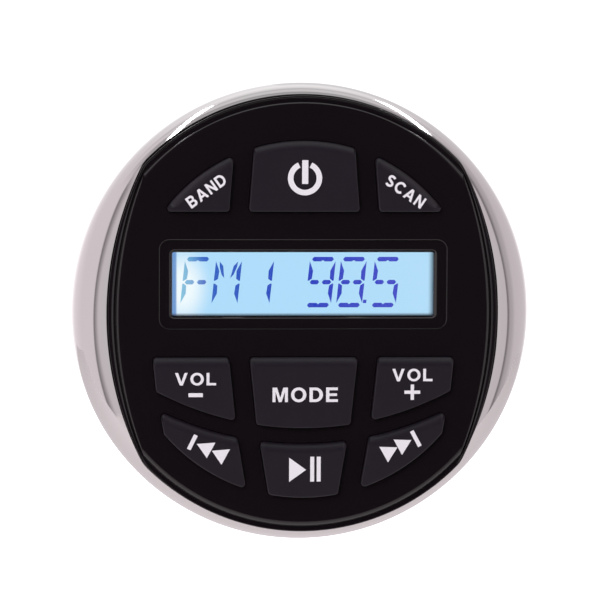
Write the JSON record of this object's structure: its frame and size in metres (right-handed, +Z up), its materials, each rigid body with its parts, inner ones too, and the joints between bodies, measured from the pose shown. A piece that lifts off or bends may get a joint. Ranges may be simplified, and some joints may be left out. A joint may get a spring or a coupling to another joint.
{
  "type": "car stereo",
  "caption": "Round panel-mount stereo receiver with a domed chrome bezel, a gloss black face, push keys, a back-lit display and a finned rear cover.",
  "frame": {"origin": "on the barrel's axis, in the plane of the gasket's rear face, which is the dash surface", "axes": "+Z up as fitted, +X to the right seen from the front, the face looks along -Y and the barrel runs along +Y"},
  "size_m": [0.102, 0.0869, 0.102],
  "materials": {
    "chrome": "polished chrome plate on moulded plastic",
    "gloss_black": "moulded, high gloss",
    "clear_acrylic": "clear, polished",
    "display_glass": "back-lit liquid crystal glass",
    "white_plastic": "moulded, satin",
    "lamp": "moulded lamp bodies",
    "tinned_metal": "tinned sheet and wire",
    "black_plastic": "moulded, matt",
    "board": "glass-fibre board with green solder resist",
    "steel": "zinc plated",
    "seal_rubber": "soft, matt",
    "housing_black": "moulded, fine spark texture",
    "pad_grey": "soft heat pad",
    "capacitor_sleeve": "shrunk sleeve",
    "cast_aluminium": "die cast, blasted",
    "contact_metal": "gilded contacts",
    "nickel": "bright nickel plate",
    "key_rubber": "soft-touch silicone with printed legends"
  },
  "bodies": {
    "receiver": {"bezel_ring": "chrome", "face_panel": "gloss_black", "display_window": "clear_acrylic", "lcd_glass": "display_glass", "lcd_frame": "white_plastic", "light_guide": "clear_acrylic", "backlight_leds": "lamp", "lcd_pins": "tinned_metal", "switch_bodies": "black_plastic", "key_board": "board", "key_board_screws": "steel", "panel_screws": "steel", "panel_seal": "seal_rubber", "mount_gasket": "seal_rubber", "rear_housing": "housing_black", "main_board": "board", "main_board_screws": "steel", "link_board": "board", "link_headers": "black_plastic", "amplifier_chip": "black_plastic", "thermal_pad": "pad_grey", "tuner_module": "tinned_metal", "wireless_module": "board", "processor_chip": "black_plastic", "capacitors": "capacitor_sleeve", "rear_cover": "cast_aluminium", "cover_seal": "seal_rubber", "cover_screws": "steel", "harness_socket": "black_plastic", "harness_pins": "contact_metal", "antenna_socket": "nickel", "antenna_contact": "contact_metal", "line_out_block": "black_plastic", "line_out_shells": "nickel", "mount_studs": "steel"},
    "band_key": {"key_band": "key_rubber", "plunger_band": "white_plastic"},
    "power_key": {"key_power": "key_rubber", "plunger_power": "white_plastic"},
    "preset_key": {"key_preset": "key_rubber", "plunger_preset": "white_plastic"},
    "volume_down_key": {"key_volume_down": "key_rubber", "plunger_volume_down": "white_plastic"},
    "mode_key": {"key_mode": "key_rubber", "plunger_mode": "white_plastic"},
    "volume_up_key": {"key_volume_up": "key_rubber", "plunger_volume_up": "white_plastic"},
    "previous_key": {"key_previous": "key_rubber", "plunger_previous": "white_plastic"},
    "play_key": {"key_play": "key_rubber", "plunger_play": "white_plastic"},
    "next_key": {"key_next": "key_rubber", "plunger_next": "white_plastic"}
  },
  "joints": [
    {"name": "band_press", "type": "slide", "parent": "receiver", "child": "band_key", "axis": [0, 1, 0], "range_m": [0, 0.0008], "stiffness_N_per_m": 2000},
    {"name": "power_press", "type": "slide", "parent": "receiver", "child": "power_key", "axis": [0, 1, 0], "range_m": [0, 0.0008], "stiffness_N_per_m": 2000},
    {"name": "preset_press", "type": "slide", "parent": "receiver", "child": "preset_key", "axis": [0, 1, 0], "range_m": [0, 0.0008], "stiffness_N_per_m": 2000},
    {"name": "volume_down_press", "type": "slide", "parent": "receiver", "child": "volume_down_key", "axis": [0, 1, 0], "range_m": [0, 0.0008], "stiffness_N_per_m": 2000},
    {"name": "mode_press", "type": "slide", "parent": "receiver", "child": "mode_key", "axis": [0, 1, 0], "range_m": [0, 0.0008], "stiffness_N_per_m": 2000},
    {"name": "volume_up_press", "type": "slide", "parent": "receiver", "child": "volume_up_key", "axis": [0, 1, 0], "range_m": [0, 0.0008], "stiffness_N_per_m": 2000},
    {"name": "previous_press", "type": "slide", "parent": "receiver", "child": "previous_key", "axis": [0, 1, 0], "range_m": [0, 0.0008], "stiffness_N_per_m": 2000},
    {"name": "play_press", "type": "slide", "parent": "receiver", "child": "play_key", "axis": [0, 1, 0], "range_m": [0, 0.0008], "stiffness_N_per_m": 2000},
    {"name": "next_press", "type": "slide", "parent": "receiver", "child": "next_key", "axis": [0, 1, 0], "range_m": [0, 0.0008], "stiffness_N_per_m": 2000}
  ]
}
